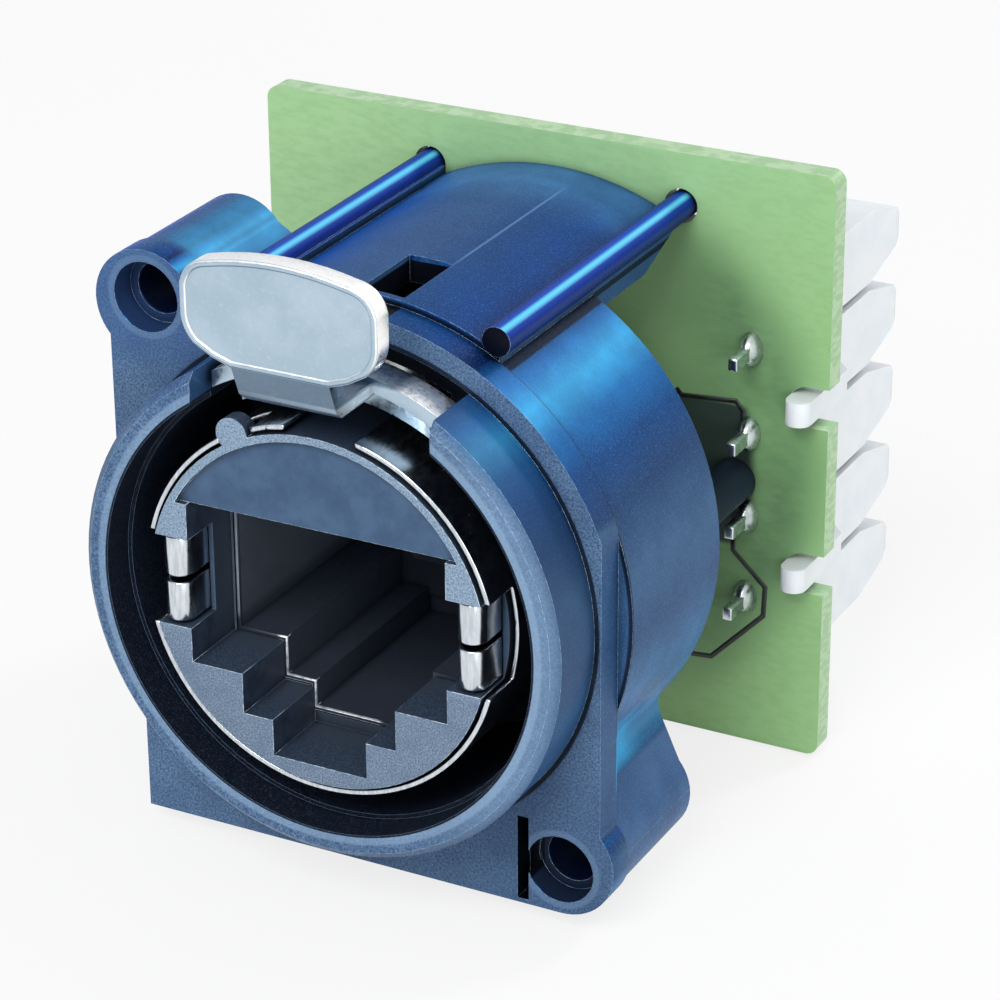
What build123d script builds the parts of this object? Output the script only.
# Locking network panel connector: moulded housing with a latch lever, a jack insert, and
# a circuit board with two wire terminal blocks. All sizes are in millimetres.
# The panel face is y = 0, the front looks along -Y, and +Z is up.
import math
import os

from build123d import *

os.makedirs("parts", exist_ok=True)

# Housing
collar_r = 11.5
collar_len = 3.4
mouth_r = 10.3
mouth_len = 1.65
bore_r = 10.1
bore_depth = 7.6
flange_r = 12.6
flange_t = 1.6
flange_half_w = 11.8
flange_half_h = 13.6
corner_x = 11.0
screw_x = 9.9
screw_z = 11.45
ear_r = 2.5
ear_depth = 8.0
ear_blend_r = 1.6
screw_hole_r = 1.2
screw_sink_r = 1.6
screw_sink_depth = 1.3
barrel_r = 12.5
barrel_depth = 10.3
roof_r = 12.9
roof_half_w = 6.3
roof_t = 2.1
rod_x = 6.4
rod_z = 12.0
rod_r = 0.66
gap_half_w = 5.7
gap_sink = 0.15
slot_r = 10.85
roof_cut_len = 3.8
roof_cut_top = 11.2
roof_cut_bottom = 9.8
window_x = 0.62
window_w = 2.1
window_front = 1.95
window_back = 6.2
post_z = -0.88
post_r = 1.05
spigot_r = 0.6
rim_chamfer = 0.35

# Latch lever, its pin and spring
lever_front = 5.5
lever_plate_t = 0.9
lever_top = 16.6
lever_half_w = 4.6
neck_half_w = 2.3
lever_wide_drop = 2.7
lever_corner_h = 1.6
lever_corner_w = 1.3
lever_arch = 0.38
neck_t = 0.6
bar_t = 0.65
arm_half_w = 4.5
arm_t = 0.65
pivot_y = 6.0
pin_r = 0.5
knuckle_r = 0.95
knuckle_half_w = 3.1
spring_wire_r = 0.14
spring_pitch = 0.42
spring_turns = 4
spring_dip = 10.8

# Jack insert and what it carries
insert_r = 8.15
insert_front = 3.25
insert_stop_t = 0.67
open_half_w = 6.25
open_top = 3.8
open_bottom = 3.7
step_half_w = 3.75
step_bottom = 5.6
notch_half_w = 2.3
notch_bottom = 7.3
pocket_y = 0.3
cavity_half_w = 5.9
cavity_top = 3.4
cavity_bottom = 3.5
cavity_step_half_w = 3.6
cavity_step_bottom = 5.3
cavity_notch_half_w = 2.2
cavity_notch_bottom = 6.55
sheet = 0.25
sleeve_slit_left = 1.35
sleeve_slit_right = 2.0
plate_inset = 0.35
key_len = 0.8
clip_x = 7.15
clip_r = 0.65
clip_t = 0.2
clip_half_h = 2.0
contact_pitch = 1.02
contact_w = 0.45
contact_t = 0.28
carrier_half_w = 5.0
carrier_top = 4.0
carrier_bottom = 6.0

# Circuit board and terminal blocks
board_y = 19.0
board_t = 1.2
board_w = 28.95
board_h = 28.75
board_cx = -0.625
board_cz = 0.125
board_corner_r = 0.6
term_pitch = 4.15
term_z0 = -0.15
term_x = 10.0
term_half_len = 10.0
term_outer_x = 12.2
term_inner_x = 6.4
term_root = 7.4
term_tooth = 3.4
term_tip = 0.3
snap_t = 1.15
snap_w = 1.2
snap_reach = 1.2
snap_drop = 0.6
fork_t = 0.45
tail_w = 0.6
tail_reach = 2.1
tail_drop = 0.38
solder_r = 0.65
solder_h = 0.95
solder_edge = 0.22

# Clearances
slide = 0.03
side_gap = 0.3
hole_gap = 0.15
post_gap = 0.12
sleeve_gap = 0.12
seat_lap = 0.15

# Sizes that follow
ear_x = screw_x + 0.05
ear_z = flange_half_h - ear_r
pivot_z = mouth_r - 0.3
# Where the straight sides of the lower right ear enter the barrel
outer_root_angle = math.radians(-26.8)
inner_root_angle = math.radians(-63)
outer_root_r = barrel_r - 1.63
inner_root_r = barrel_r - 0.12
ear_outer_root = (outer_root_r * math.cos(outer_root_angle), outer_root_r * math.sin(outer_root_angle))
ear_inner_root = (inner_root_r * math.cos(inner_root_angle), inner_root_r * math.sin(inner_root_angle))
board_back = board_y + board_t
rod_end = board_back + 0.5
post_x = insert_r + post_r + post_gap
insert_back = barrel_depth + slide + insert_stop_t
sleeve_in = insert_r + sleeve_gap
sleeve_out = sleeve_in + sheet
tooth_root = board_back + term_root
tooth_tip = tooth_root + term_tooth
pin_levels = [term_z0 + term_pitch * k for k in (-1.5, -0.5, 0.5, 1.5)]
tail_levels = [level - tail_drop for level in pin_levels]
snap_levels = [term_z0 - snap_drop + term_pitch * k for k in (-1, 1)]
snap_x = term_outer_x - seat_lap + snap_w / 2

with BuildPart() as housing:
    # Flange plate: a disc with two flats, two screw ears and one square corner
    with BuildSketch(Plane.XZ):
        Circle(flange_r)
        Rectangle(2 * flange_half_w, 3 * flange_r, mode=Mode.INTERSECT)
        with Locations((-ear_x, ear_z), (ear_x, -ear_z)):
            Circle(ear_r)
        with BuildLine():
            Polyline((-ear_x, ear_z + ear_r), (-6.2, 11.9), (0, 5), (-ear_x, 3), close=True)
        make_face()
        with BuildLine():
            Polyline((-flange_half_w, 3), (0, 0), (-ear_x, ear_z), (-flange_half_w, 9.4), close=True)
        make_face()
        with BuildLine():
            Polyline((flange_half_w, -3), (0, 0), (ear_x, -ear_z), (flange_half_w, -9.4), close=True)
        make_face()
        with BuildLine():
            Polyline(
                (ear_x, -flange_half_h),
                (-corner_x, -flange_half_h),
                (-corner_x, -4),
                (0, 0),
                (ear_x, -5),
                close=True,
            )
        make_face()
    extrude(amount=-flange_t)
    # Barrel behind the flange
    with BuildSketch(Plane.XZ.offset(-flange_t)):
        Circle(barrel_r)
    extrude(amount=-(barrel_depth - flange_t))
    # Deep screw ears that meet the barrel in hollow corners
    with BuildSketch(Plane.XZ.offset(-flange_t)):
        Circle(barrel_r)
        for side in (-1, 1):
            with BuildLine():
                Polyline(
                    (side * (ear_x + ear_r - 0.1), -side * (ear_z - 0.3)),
                    (side * ear_outer_root[0], side * ear_outer_root[1]),
                    (0, 0),
                    (side * ear_inner_root[0], side * ear_inner_root[1]),
                    (side * (ear_x - 0.6), -side * (ear_z + ear_r - 0.25)),
                    close=True,
                )
            make_face()
            with Locations((side * ear_x, -side * ear_z)):
                Circle(ear_r - 0.1)
        on_barrel = [v for v in vertices() if abs(math.hypot(v.X, v.Y) - barrel_r) < 0.02]
        fillet([v for v in on_barrel if v.X * v.Y < -1], radius=ear_blend_r)
    extrude(amount=-(ear_depth - flange_t))
    # Roof sector between the rods, a little proud of the barrel, runs back to the board
    with BuildSketch(Plane.XZ.offset(-flange_t)):
        Circle(roof_r)
        Circle(roof_r - roof_t, mode=Mode.SUBTRACT)
        with Locations((0, roof_r)):
            Rectangle(2 * roof_half_w, 6, mode=Mode.INTERSECT)
    extrude(amount=-(board_y - flange_t))
    # The roof's underside rises towards the board
    with BuildSketch(Plane.YZ):
        with BuildLine():
            Polyline(
                (board_y - roof_cut_len, roof_cut_bottom),
                (board_y, roof_cut_top),
                (board_y, roof_cut_bottom - 1),
                (board_y - roof_cut_len, roof_cut_bottom - 1),
                close=True,
            )
        make_face()
    extrude(amount=roof_half_w, both=True, mode=Mode.SUBTRACT)
    # Collar in front of the panel
    with BuildSketch(Plane.XZ):
        Circle(collar_r)
    extrude(amount=collar_len)
    chamfer(housing.faces().sort_by(Axis.Y)[0].edges(), length=rim_chamfer)
    # Stepped bore
    with BuildSketch(Plane.XZ.offset(collar_len)):
        Circle(mouth_r)
    extrude(amount=-mouth_len, mode=Mode.SUBTRACT)
    with BuildSketch(Plane.XZ.offset(collar_len)):
        Circle(bore_r)
    extrude(amount=-(collar_len + bore_depth), mode=Mode.SUBTRACT)
    # Hole for the insert through the floor
    with BuildSketch(Plane.XZ):
        Circle(insert_r + slide)
    extrude(amount=-barrel_depth, mode=Mode.SUBTRACT)
    # Gap in the collar for the lever
    with BuildSketch(Plane.XZ.offset(collar_len)):
        Circle(collar_r)
        Circle(bore_r - 1, mode=Mode.SUBTRACT)
        with Locations((0, collar_r)):
            Rectangle(2 * gap_half_w, 8, mode=Mode.INTERSECT)
    extrude(amount=-(collar_len + gap_sink), mode=Mode.SUBTRACT)
    # Slot over the bore in which the lever arm lifts
    with BuildSketch(Plane.XZ):
        Circle(slot_r)
        Circle(bore_r - 1, mode=Mode.SUBTRACT)
        with Locations((0, slot_r)):
            Rectangle(2 * (arm_half_w + side_gap), 8, mode=Mode.INTERSECT)
    extrude(amount=-bore_depth, mode=Mode.SUBTRACT)
    # Pocket round the lever knuckles
    with BuildSketch(Plane.XZ.offset(-(pivot_y - knuckle_r - side_gap))):
        with Locations((0, pivot_z + 0.2)):
            Rectangle(2 * (knuckle_half_w + side_gap), 2 * (knuckle_r + side_gap) + 0.4)
    extrude(amount=-(bore_depth - pivot_y + knuckle_r + side_gap), mode=Mode.SUBTRACT)
    # Blind holes for the pivot pin
    with BuildSketch(Plane.YZ):
        with Locations((pivot_y, pivot_z)):
            Circle(pin_r + slide)
    extrude(amount=gap_half_w, both=True, mode=Mode.SUBTRACT)
    # Window in the roof over the spring
    with BuildSketch(Plane.XY.offset(pivot_z)):
        with Locations((window_x, (window_front + window_back) / 2)):
            Rectangle(window_w, window_back - window_front)
    extrude(amount=roof_r - pivot_z + 1, mode=Mode.SUBTRACT)
    # Two rods along the top on webs flush with the roof's sides, with ends through the board
    for side in (-1, 1):
        with BuildSketch(Plane.XZ.offset(-flange_t)):
            with Locations((side * (roof_half_w - 0.35), rod_z - 0.5)):
                Rectangle(0.7, 1.0)
        extrude(amount=-(board_y - flange_t))
        with BuildSketch(Plane.XZ.offset(0.5 - flange_t)):
            with Locations((side * rod_x, rod_z)):
                Circle(rod_r)
        extrude(amount=-(rod_end - flange_t + 0.5))
    # Posts that carry the board, with spigots in it
    for side in (-1, 1):
        with BuildSketch(Plane.XZ.offset(-barrel_depth)):
            with Locations((side * post_x, post_z)):
                Circle(post_r)
        extrude(amount=-(board_y - barrel_depth))
        with BuildSketch(Plane.XZ.offset(-board_y)):
            with Locations((side * post_x, post_z)):
                Circle(spigot_r)
        extrude(amount=-(board_t - 0.1))
    # Screw holes with their sinks
    with BuildSketch(Plane.XZ):
        with Locations((-screw_x, screw_z), (screw_x, -screw_z)):
            Circle(screw_hole_r)
    extrude(amount=-ear_depth, mode=Mode.SUBTRACT)
    with BuildSketch(Plane.XZ):
        with Locations((-screw_x, screw_z), (screw_x, -screw_z)):
            Circle(screw_sink_r)
    extrude(amount=-screw_sink_depth, mode=Mode.SUBTRACT)
    # Upright slot beside the lower screw hole
    with BuildSketch(Plane.XZ):
        with Locations((screw_x - 1.78, 0.1 - screw_z)):
            Rectangle(0.55, 4.1)
    extrude(amount=-1.2, mode=Mode.SUBTRACT)
housing.part.label = "housing"
export_step(housing.part, "parts/housing.step")

# Radii of the curved parts of the lever, which follow the bore
bar_in = bore_r + 0.35
bar_out = bar_in + bar_t
arm_out = bore_r - 0.1
arm_in = arm_out - arm_t
neck_z = arm_out
lip_bottom = neck_z + 0.35
plate_z = lever_top - 4.9
hip_x = neck_half_w + 0.9
hip_z = plate_z + 0.3
shoulder_z = plate_z + 0.75
shoulder_x = lever_half_w - 0.6
wide_z = lever_top - lever_wide_drop
corner_z = lever_top - lever_corner_h
lever_corner_x = lever_half_w - lever_corner_w
arch_z = lever_top - lever_arch

with BuildPart() as lever:
    # Grip plate, wider at the top, with an arched upper edge
    with BuildSketch(Plane.XZ.offset(lever_front)):
        with BuildLine():
            Polyline((-neck_half_w, plate_z), (neck_half_w, plate_z))
            Polyline((neck_half_w, plate_z), (hip_x, hip_z), (shoulder_x, shoulder_z))
            Spline((shoulder_x, shoulder_z), (lever_half_w - 0.1, (shoulder_z + wide_z) / 2), (lever_half_w, wide_z))
            Polyline((lever_half_w, wide_z), (lever_half_w, corner_z))
            Spline((lever_half_w, corner_z), (lever_half_w - 0.4, (corner_z + lever_top) / 2), (lever_corner_x, arch_z))
            ThreePointArc((lever_corner_x, arch_z), (0, lever_top), (-lever_corner_x, arch_z))
            Spline((-lever_corner_x, arch_z), (0.4 - lever_half_w, (corner_z + lever_top) / 2), (-lever_half_w, corner_z))
            Polyline((-lever_half_w, corner_z), (-lever_half_w, wide_z))
            Spline((-lever_half_w, wide_z), (0.1 - lever_half_w, (shoulder_z + wide_z) / 2), (-shoulder_x, shoulder_z))
            Polyline((-shoulder_x, shoulder_z), (-hip_x, hip_z), (-neck_half_w, plate_z))
        make_face()
    extrude(amount=-lever_plate_t)
    # Bent lip and neck, drawn from the side
    with BuildSketch(Plane.YZ):
        with BuildLine():
            Polyline(
                (-lever_front, plate_z + 0.05),
                (0.55 - lever_front, lip_bottom),
                (0.95 - lever_front, neck_z),
                (-0.9, neck_z),
                (-0.9, neck_z + neck_t),
                (1.5 - lever_front, neck_z + neck_t),
                (lever_plate_t - lever_front, plate_z + 0.05),
                close=True,
            )
        make_face()
    extrude(amount=neck_half_w, both=True)
    # Curved bar in the collar gap
    with BuildSketch(Plane.XZ.offset(2.1)):
        Circle(bar_out)
        Circle(bar_in, mode=Mode.SUBTRACT)
        with Locations((0, bar_out)):
            Rectangle(2 * (gap_half_w - side_gap), 6, mode=Mode.INTERSECT)
    extrude(amount=-1.6)
    # Curved web from the bar down to the arm
    with BuildSketch(Plane.XZ.offset(1.2)):
        Circle(bar_out)
        Circle(arm_in, mode=Mode.SUBTRACT)
        with Locations((0, bar_out)):
            Rectangle(2 * arm_half_w, 6, mode=Mode.INTERSECT)
    extrude(amount=-0.7)
    # Curved arm inside the bore
    with BuildSketch(Plane.XZ.offset(1.2)):
        Circle(arm_out)
        Circle(arm_in, mode=Mode.SUBTRACT)
        with Locations((0, arm_out)):
            Rectangle(2 * knuckle_half_w, 4, mode=Mode.INTERSECT)
    extrude(amount=-(pivot_y + 1.2))
    # Hooked nose under the arm
    with BuildSketch(Plane.YZ):
        with BuildLine():
            Polyline(
                (-1.2, arm_in + 0.2),
                (-1.2, arm_in - 0.1),
                (-0.6, arm_in - 0.35),
                (0.5, arm_in - 0.35),
                (0.5, arm_in + 0.2),
                close=True,
            )
        make_face()
    extrude(amount=1.6, both=True)
    # Knuckles
    with BuildSketch(Plane.YZ):
        with Locations((pivot_y, pivot_z)):
            Circle(knuckle_r)
    extrude(amount=knuckle_half_w, both=True)
    # Opening between the knuckles for the spring
    with BuildSketch(Plane.XY.offset(pivot_z - knuckle_r - 0.5)):
        with Locations((0, pivot_y - 0.6)):
            Rectangle(2.6, 3.6)
    extrude(amount=2 * knuckle_r + 1, mode=Mode.SUBTRACT)
    # Pin hole
    with BuildSketch(Plane.YZ):
        with Locations((pivot_y, pivot_z)):
            Circle(pin_r + slide)
    extrude(amount=knuckle_half_w + 1, both=True, mode=Mode.SUBTRACT)
lever.part.label = "latch_lever"
export_step(lever.part, "parts/latch_lever.step")

with BuildPart() as pin:
    with BuildSketch(Plane.YZ):
        with Locations((pivot_y, pivot_z)):
            Circle(pin_r)
    extrude(amount=gap_half_w - 0.05, both=True)
pin.part.label = "pivot_pin"
export_step(pin.part, "parts/pivot_pin.step")

# Return spring: a coil round the pin, a leg to the back wall and a leg that dips to the arm
dip = math.radians(spring_dip)
coil_len = spring_pitch * (spring_turns + spring_dip / 360)
coil_r = pin_r + spring_wire_r + 0.04
front_leg = (pivot_z + coil_r * math.cos(dip) - arm_out - spring_wire_r) / math.sin(dip)
back_leg = bore_depth - pivot_y - spring_wire_r - 0.05
with BuildPart() as spring:
    with BuildLine() as spring_path:
        coil = Helix(
            pitch=spring_pitch,
            height=coil_len,
            radius=coil_r,
            center=(-coil_len / 2, pivot_y, pivot_z),
            direction=(1, 0, 0),
        )
        Line(coil @ 0, coil @ 0 - (coil % 0) * back_leg)
        Line(coil @ 1, coil @ 1 + (coil % 1) * front_leg)
    spring_wire = spring_path.wires()[0]
    with BuildSketch(Plane(origin=spring_wire @ 0, z_dir=spring_wire % 0)):
        RegularPolygon(spring_wire_r, 5)
    sweep(path=spring_wire)
spring.part.label = "return_spring"
export_step(spring.part, "parts/return_spring.step")

# The key bump on the insert's rim, and the room that the sleeve leaves for it
key_angle = math.radians(117)
key_x = (insert_r + 0.3) * math.cos(key_angle)
key_z = (insert_r + 0.3) * math.sin(key_angle)
key_r = 0.75
clip_slot_depth = 1.2
clip_slot_end = 2.2

with BuildPart() as insert:
    with BuildSketch(Plane.XZ.offset(insert_front)):
        Circle(insert_r)
    extrude(amount=-(insert_front + insert_back))
    # Rear flange that stops the insert behind the barrel, with flats beside the posts
    with BuildSketch(Plane.XZ.offset(-(barrel_depth + slide))):
        Circle(insert_r + 0.7)
        Rectangle(2 * (post_x - post_r - side_gap), 3 * insert_r, mode=Mode.INTERSECT)
    extrude(amount=-insert_stop_t)
    # Half-round key on the front rim
    with BuildSketch(Plane.XZ.offset(insert_front)):
        with Locations((key_x, key_z)):
            Circle(key_r)
    extrude(amount=-key_len)
    # Stepped mouth for the plug
    with BuildSketch(Plane.XZ.offset(insert_front)):
        with BuildLine():
            Polyline(
                (open_half_w, open_top),
                (open_half_w, -open_bottom),
                (step_half_w, -open_bottom),
                (step_half_w, -step_bottom),
                (notch_half_w, -step_bottom),
                (notch_half_w, -notch_bottom),
                (-notch_half_w, -notch_bottom),
                (-notch_half_w, -step_bottom),
                (-step_half_w, -step_bottom),
                (-step_half_w, -open_bottom),
                (-open_half_w, -open_bottom),
                (-open_half_w, open_top),
                close=True,
            )
        make_face()
    extrude(amount=-(insert_front + pocket_y), mode=Mode.SUBTRACT)
    # Plain plate over the mouth, sunk behind the rim
    with BuildSketch(Plane.XZ.offset(insert_front)):
        Circle(insert_r - plate_inset)
        with Locations((0, open_top + 5)):
            Rectangle(2 * insert_r, 10, mode=Mode.INTERSECT)
    extrude(amount=-0.3, mode=Mode.SUBTRACT)
    # Jack cavity with room for the shield
    with BuildSketch(Plane.XZ.offset(-pocket_y)):
        with Locations((0, (cavity_top - cavity_bottom - sheet) / 2)):
            Rectangle(2 * (cavity_half_w + sheet + slide), cavity_top + cavity_bottom + sheet + 2 * slide)
        with Locations((0, -(cavity_step_bottom + sheet + slide) / 2)):
            Rectangle(2 * (cavity_step_half_w + sheet + slide), cavity_step_bottom + sheet + slide)
        with Locations((0, -(cavity_notch_bottom + sheet + slide) / 2)):
            Rectangle(2 * (cavity_notch_half_w + sheet + slide), cavity_notch_bottom + sheet + slide)
    extrude(amount=-(insert_back - pocket_y), mode=Mode.SUBTRACT)
    # Side notches and slots for the ground clips
    for side in (-1, 1):
        with BuildSketch(Plane.XZ.offset(insert_front)):
            with Locations((side * (open_half_w + 1), 0)):
                Rectangle(2.2, 2 * (clip_half_h + 0.1))
        extrude(amount=-(insert_front - clip_slot_depth), mode=Mode.SUBTRACT)
        with BuildSketch(Plane.XZ.offset(clip_slot_depth)):
            with Locations((side * clip_x, 0)):
                Rectangle(2 * (clip_r + slide), 2 * (clip_half_h + 0.1))
        extrude(amount=-(clip_slot_depth + clip_slot_end), mode=Mode.SUBTRACT)
insert.part.label = "jack_insert"
export_step(insert.part, "parts/jack_insert.step")

sleeve_front = insert_front - 0.15
with BuildPart() as sleeve:
    with BuildSketch(Plane.XZ.offset(sleeve_front)):
        Circle(sleeve_out)
        Circle(sleeve_in, mode=Mode.SUBTRACT)
        with Locations(((sleeve_slit_right - sleeve_slit_left) / 2, sleeve_out)):
            Rectangle(sleeve_slit_left + sleeve_slit_right, 6, mode=Mode.SUBTRACT)
    extrude(amount=-(sleeve_front + bore_depth - 0.1))
    # Cut-outs for the clips and the key
    with BuildSketch(Plane.XZ.offset(sleeve_front)):
        with Locations((-sleeve_out, 0), (sleeve_out, 0)):
            Rectangle(3, 2 * (clip_half_h + 0.2))
        with Locations((key_x, key_z)):
            Circle(key_r + 0.1)
    extrude(amount=-(sleeve_front - 1.0), mode=Mode.SUBTRACT)
sleeve.part.label = "shield_sleeve"
export_step(sleeve.part, "parts/shield_sleeve.step")

# Ground spring clips: strips rolled round a nose, each with two tabs and a joining bridge
clip_names = {-1: "ground_clip_left", 1: "ground_clip_right"}
clip_nose_y = clip_r - insert_front + 0.15
clip_inner_end = clip_slot_end - 0.6
for side, clip_name in clip_names.items():
    with BuildPart() as clip:
        with BuildSketch(Plane.XY.offset(-clip_half_h)):
            with Locations((side * clip_x, clip_nose_y)):
                Circle(clip_r)
            with Locations((side * clip_x, (clip_nose_y + clip_slot_end - 0.1) / 2)):
                Rectangle(2 * clip_r, clip_slot_end - 0.1 - clip_nose_y)
            with Locations((side * clip_x, clip_nose_y)):
                Circle(clip_r - clip_t, mode=Mode.SUBTRACT)
            with Locations((side * clip_x, (clip_nose_y + clip_slot_end) / 2)):
                Rectangle(2 * (clip_r - clip_t), clip_slot_end - clip_nose_y, mode=Mode.SUBTRACT)
            with Locations((side * (clip_x - clip_r), clip_slot_end)):
                Rectangle(clip_r, 2 * (clip_slot_end - clip_inner_end), mode=Mode.SUBTRACT)
        extrude(amount=2 * clip_half_h)
        # Slit between the two tabs
        with BuildSketch(Plane.XZ.offset(insert_front)):
            with Locations((side * clip_x, 0)):
                Rectangle(2 * clip_r + 0.2, 0.3)
        extrude(amount=-(insert_front + 0.4), mode=Mode.SUBTRACT)
    clip.part.label = clip_name
    export_step(clip.part, "parts/" + clip_name + ".step")

# Folded shield that lines the jack cavity, open at the top
with BuildPart() as shield:
    with BuildSketch(Plane.XZ.offset(-pocket_y)):
        with BuildLine():
            Polyline(
                (cavity_half_w + sheet, cavity_top),
                (cavity_half_w + sheet, -cavity_bottom - sheet),
                (cavity_step_half_w + sheet, -cavity_bottom - sheet),
                (cavity_step_half_w + sheet, -cavity_step_bottom - sheet),
                (cavity_notch_half_w + sheet, -cavity_step_bottom - sheet),
                (cavity_notch_half_w + sheet, -cavity_notch_bottom - sheet),
                (-cavity_notch_half_w - sheet, -cavity_notch_bottom - sheet),
                (-cavity_notch_half_w - sheet, -cavity_step_bottom - sheet),
                (-cavity_step_half_w - sheet, -cavity_step_bottom - sheet),
                (-cavity_step_half_w - sheet, -cavity_bottom - sheet),
                (-cavity_half_w - sheet, -cavity_bottom - sheet),
                (-cavity_half_w - sheet, cavity_top),
                close=True,
            )
        make_face()
        with BuildLine():
            Polyline(
                (cavity_half_w, cavity_top),
                (cavity_half_w, -cavity_bottom),
                (cavity_step_half_w, -cavity_bottom),
                (cavity_step_half_w, -cavity_step_bottom),
                (cavity_notch_half_w, -cavity_step_bottom),
                (cavity_notch_half_w, -cavity_notch_bottom),
                (-cavity_notch_half_w, -cavity_notch_bottom),
                (-cavity_notch_half_w, -cavity_step_bottom),
                (-cavity_step_half_w, -cavity_step_bottom),
                (-cavity_step_half_w, -cavity_bottom),
                (-cavity_half_w, -cavity_bottom),
                (-cavity_half_w, cavity_top),
                close=True,
            )
        make_face(mode=Mode.SUBTRACT)
    extrude(amount=-(insert_back - pocket_y))
shield.part.label = "jack_shield"
export_step(shield.part, "parts/jack_shield.step")

# Eight contact wires: along the cavity roof, round a half-octagon bend, then back and down
wire_z = cavity_top - contact_t / 2
bend_r = 0.45
bend_front = 1.4
wire_tip_y = 7.6
wire_tip_z = 0.6
bend_y = bend_front + contact_t / 2 + bend_r
bend_z = wire_z - bend_r
bend_corner_r = bend_r / math.cos(math.radians(22.5))
bend_corners = []
for corner_angle in (112.5, 157.5, 202.5, 247.5):
    turn = math.radians(corner_angle)
    bend_corners.append((bend_y + bend_corner_r * math.cos(turn), bend_z + bend_corner_r * math.sin(turn)))
for number in range(8):
    wire_x = (number - 3.5) * contact_pitch
    with BuildPart() as wire:
        with BuildLine(Plane.YZ.offset(wire_x)) as wire_path:
            Polyline((insert_back, wire_z), *bend_corners, (wire_tip_y, wire_tip_z))
        with BuildSketch(Plane.XZ.offset(-insert_back)):
            with Locations((wire_x, wire_z)):
                Rectangle(contact_w, contact_t)
        sweep(path=wire_path.wires()[0], transition=Transition.RIGHT)
    wire.part.label = "contact_wire_" + str(number + 1)
    export_step(wire.part, "parts/" + wire.part.label + ".step")

# Rear carrier: the block that holds the contacts and stands on the board
with BuildPart() as carrier:
    with BuildSketch(Plane.XZ.offset(-insert_back)):
        with Locations((0, (carrier_top - carrier_bottom) / 2)):
            Rectangle(2 * carrier_half_w, carrier_top + carrier_bottom)
            chamfer(vertices(), length=0.8)
    extrude(amount=-(board_y - insert_back))
    # Upright grooves in the sides
    for groove_y in (insert_back + 2.0, insert_back + 4.4):
        for side in (-1, 1):
            with BuildSketch(Plane.XY.offset(-carrier_bottom)):
                with Locations((side * carrier_half_w, groove_y)):
                    Rectangle(1.0, 1.2)
            extrude(amount=carrier_top + carrier_bottom, mode=Mode.SUBTRACT)
carrier.part.label = "rear_carrier"
export_step(carrier.part, "parts/rear_carrier.step")

# Terminal tails pass the board at x = term_x on each side, snap arms in its edge notches
tail_play = 0.1
snap_notch_r = snap_t / 2 + 0.42
snap_notch_x = snap_x + 0.25
with BuildPart() as board:
    with BuildSketch(Plane.XZ.offset(-board_y)):
        with Locations((board_cx, board_cz)):
            Rectangle(board_w, board_h)
            fillet(vertices(), radius=board_corner_r)
        with Locations((-rod_x, rod_z), (rod_x, rod_z)):
            Circle(rod_r + hole_gap, mode=Mode.SUBTRACT)
        with Locations((-post_x, post_z), (post_x, post_z)):
            Circle(spigot_r + slide, mode=Mode.SUBTRACT)
        for side in (-1, 1):
            for level in tail_levels:
                with Locations((side * term_x, level)):
                    Rectangle(fork_t + 2 * tail_play, tail_w + 2 * tail_play, mode=Mode.SUBTRACT)
            for level in snap_levels:
                with Locations((side * snap_notch_x, level)):
                    Circle(snap_notch_r, mode=Mode.SUBTRACT)
                with Locations((side * (snap_notch_x + 2), level)):
                    Rectangle(4, 2 * snap_notch_r, mode=Mode.SUBTRACT)
    extrude(amount=-board_t)
board.part.label = "circuit_board"
export_step(board.part, "parts/circuit_board.step")

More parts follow.
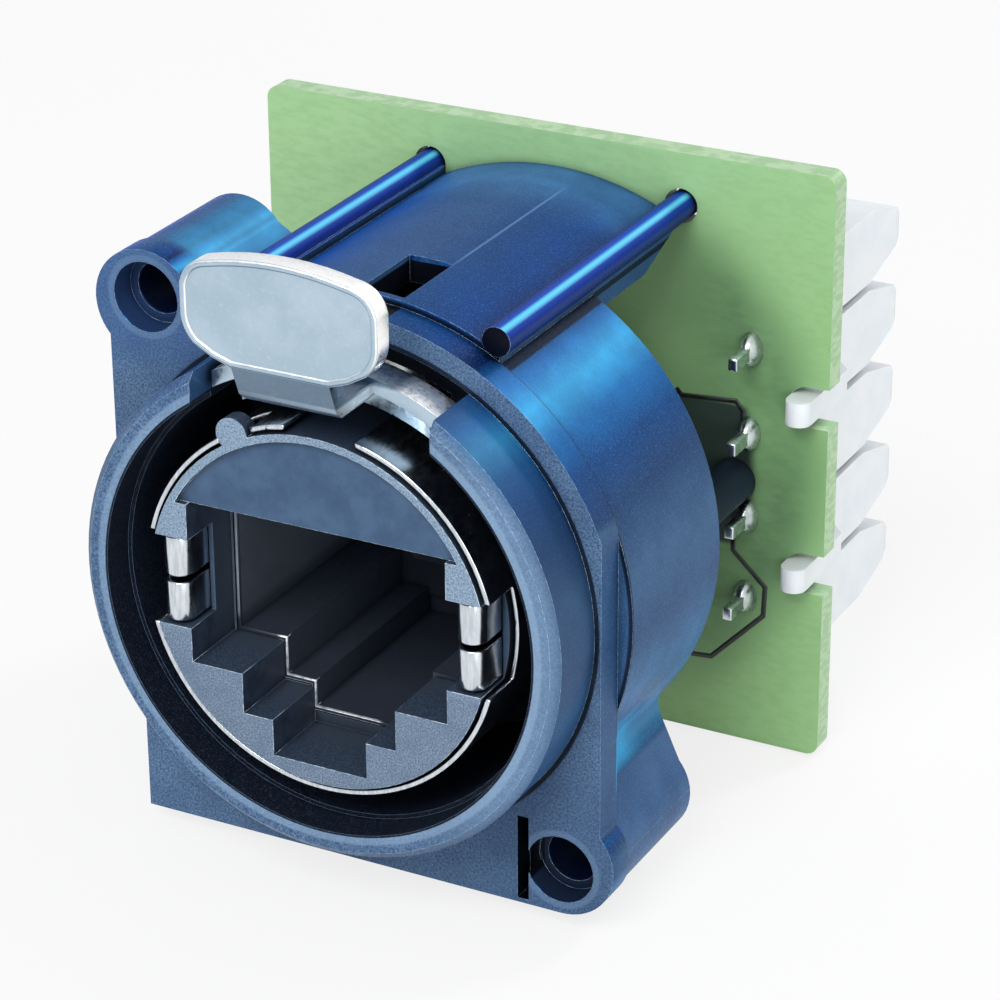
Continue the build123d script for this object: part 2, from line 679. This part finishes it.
# Terminal blocks: a moulded bar with five teeth, four wire slots and two snap arms
slot_half = 0.2
slot_mouth_half = 1.05
fork_half_h = 1.2
fork_front = board_back + 0.9
fork_end = tooth_tip - 1.2
block_names = {-1: "terminal_block_left", 1: "terminal_block_right"}
for side, block_name in block_names.items():
    with BuildPart() as block:
        block_mid = side * (term_outer_x + term_inner_x) / 2
        with BuildSketch(Plane.YZ.offset(block_mid)):
            with BuildLine():
                Polyline(
                    (board_back, term_z0 - term_half_len),
                    (tooth_root, term_z0 - term_half_len),
                    (tooth_tip, term_z0 - term_half_len + 0.9),
                    (tooth_tip, term_z0 + term_half_len - 0.9),
                    (tooth_root, term_z0 + term_half_len),
                    (board_back, term_z0 + term_half_len),
                    close=True,
                )
            make_face()
            # Wire slots: a wide mouth that narrows to a slit
            for level in pin_levels:
                with BuildLine():
                    Polyline(
                        (tooth_tip, level - slot_mouth_half),
                        (tooth_root, level - slot_half),
                        (fork_front + 1.2, level - slot_half),
                        (fork_front + 1.2, level + slot_half),
                        (tooth_root, level + slot_half),
                        (tooth_tip, level + slot_mouth_half),
                        close=True,
                    )
                make_face(mode=Mode.SUBTRACT)
            chamfer([v for v in vertices() if v.X > tooth_tip - 0.01], length=term_tip)
        extrude(amount=(term_outer_x - term_inner_x) / 2, both=True)
        # Pockets for the fork contacts, and holes for their tails
        for level in pin_levels:
            with BuildSketch(Plane.XZ.offset(-(fork_front - slide))):
                with Locations((side * term_x, level)):
                    Rectangle(fork_t + 2 * slide, 2 * (fork_half_h + slide))
            extrude(amount=-(tooth_tip - fork_front + slide), mode=Mode.SUBTRACT)
            with BuildSketch(Plane.XZ.offset(-board_back)):
                with Locations((side * term_x, level - tail_drop)):
                    Rectangle(fork_t + 2 * slide, tail_w + 2 * slide)
            extrude(amount=-(fork_front - board_back), mode=Mode.SUBTRACT)
        # Snap arms with rounded noses that reach through the board's notches
        for level in snap_levels:
            with BuildSketch(Plane.XY.offset(level - snap_t / 2)):
                with Locations((side * snap_x, board_y - snap_reach + snap_w / 2)):
                    Circle(snap_w / 2)
                with BuildLine():
                    Polyline(
                        (side * (snap_x - snap_w / 2), board_y - snap_reach + snap_w / 2),
                        (side * (snap_x + snap_w / 2), board_y - snap_reach + snap_w / 2),
                        (side * (snap_x + snap_w / 2), board_back + 2.4),
                        (side * (snap_x - snap_w / 2), board_back + 3.8),
                        close=True,
                    )
                make_face()
            extrude(amount=snap_t)
    block.part.label = block_name
    export_step(block.part, "parts/" + block_name + ".step")

# Fork contacts: a flat fork that grips the wire, with a tail through the board
fork_names = {-1: "terminal_contact_left_", 1: "terminal_contact_right_"}
for side, fork_name in fork_names.items():
    for number, level in enumerate(pin_levels):
        with BuildPart() as fork:
            with BuildSketch(Plane.YZ.offset(side * term_x)):
                with Locations(((fork_front + fork_end) / 2, level)):
                    Rectangle(fork_end - fork_front, 2 * fork_half_h)
                with Locations(((fork_front + board_y - tail_reach) / 2 + 0.05, level - tail_drop)):
                    Rectangle(fork_front - board_y + tail_reach + 0.1, tail_w)
                with BuildLine():
                    Polyline(
                        (fork_end, level - 0.9),
                        (fork_end - 1.2, level - 0.15),
                        (fork_front + 1.6, level - 0.15),
                        (fork_front + 1.6, level + 0.15),
                        (fork_end - 1.2, level + 0.15),
                        (fork_end, level + 0.9),
                        close=True,
                    )
                make_face(mode=Mode.SUBTRACT)
            extrude(amount=fork_t / 2, both=True)
        fork.part.label = fork_name + str(number + 1)
        export_step(fork.part, "parts/" + fork.part.label + ".step")

# Solder joints: small eight-sided mounds round the tails on the front of the board
with BuildPart() as solder:
    for side in (-1, 1):
        for level in tail_levels:
            with BuildSketch(Plane.XZ.offset(-board_y)):
                with Locations((side * term_x, level)):
                    RegularPolygon(solder_r, 8)
            extrude(amount=solder_h)
    chamfer(edges().group_by(Axis.Y)[0], length=solder_edge)
    with BuildSketch(Plane.XZ.offset(-board_y)):
        for side in (-1, 1):
            for level in tail_levels:
                with Locations((side * term_x, level)):
                    Rectangle(fork_t + 0.02, tail_w + 0.02)
    extrude(amount=solder_h + 0.1, mode=Mode.SUBTRACT)
solder.part.label = "solder_joints"
export_step(solder.part, "parts/solder_joints.step")
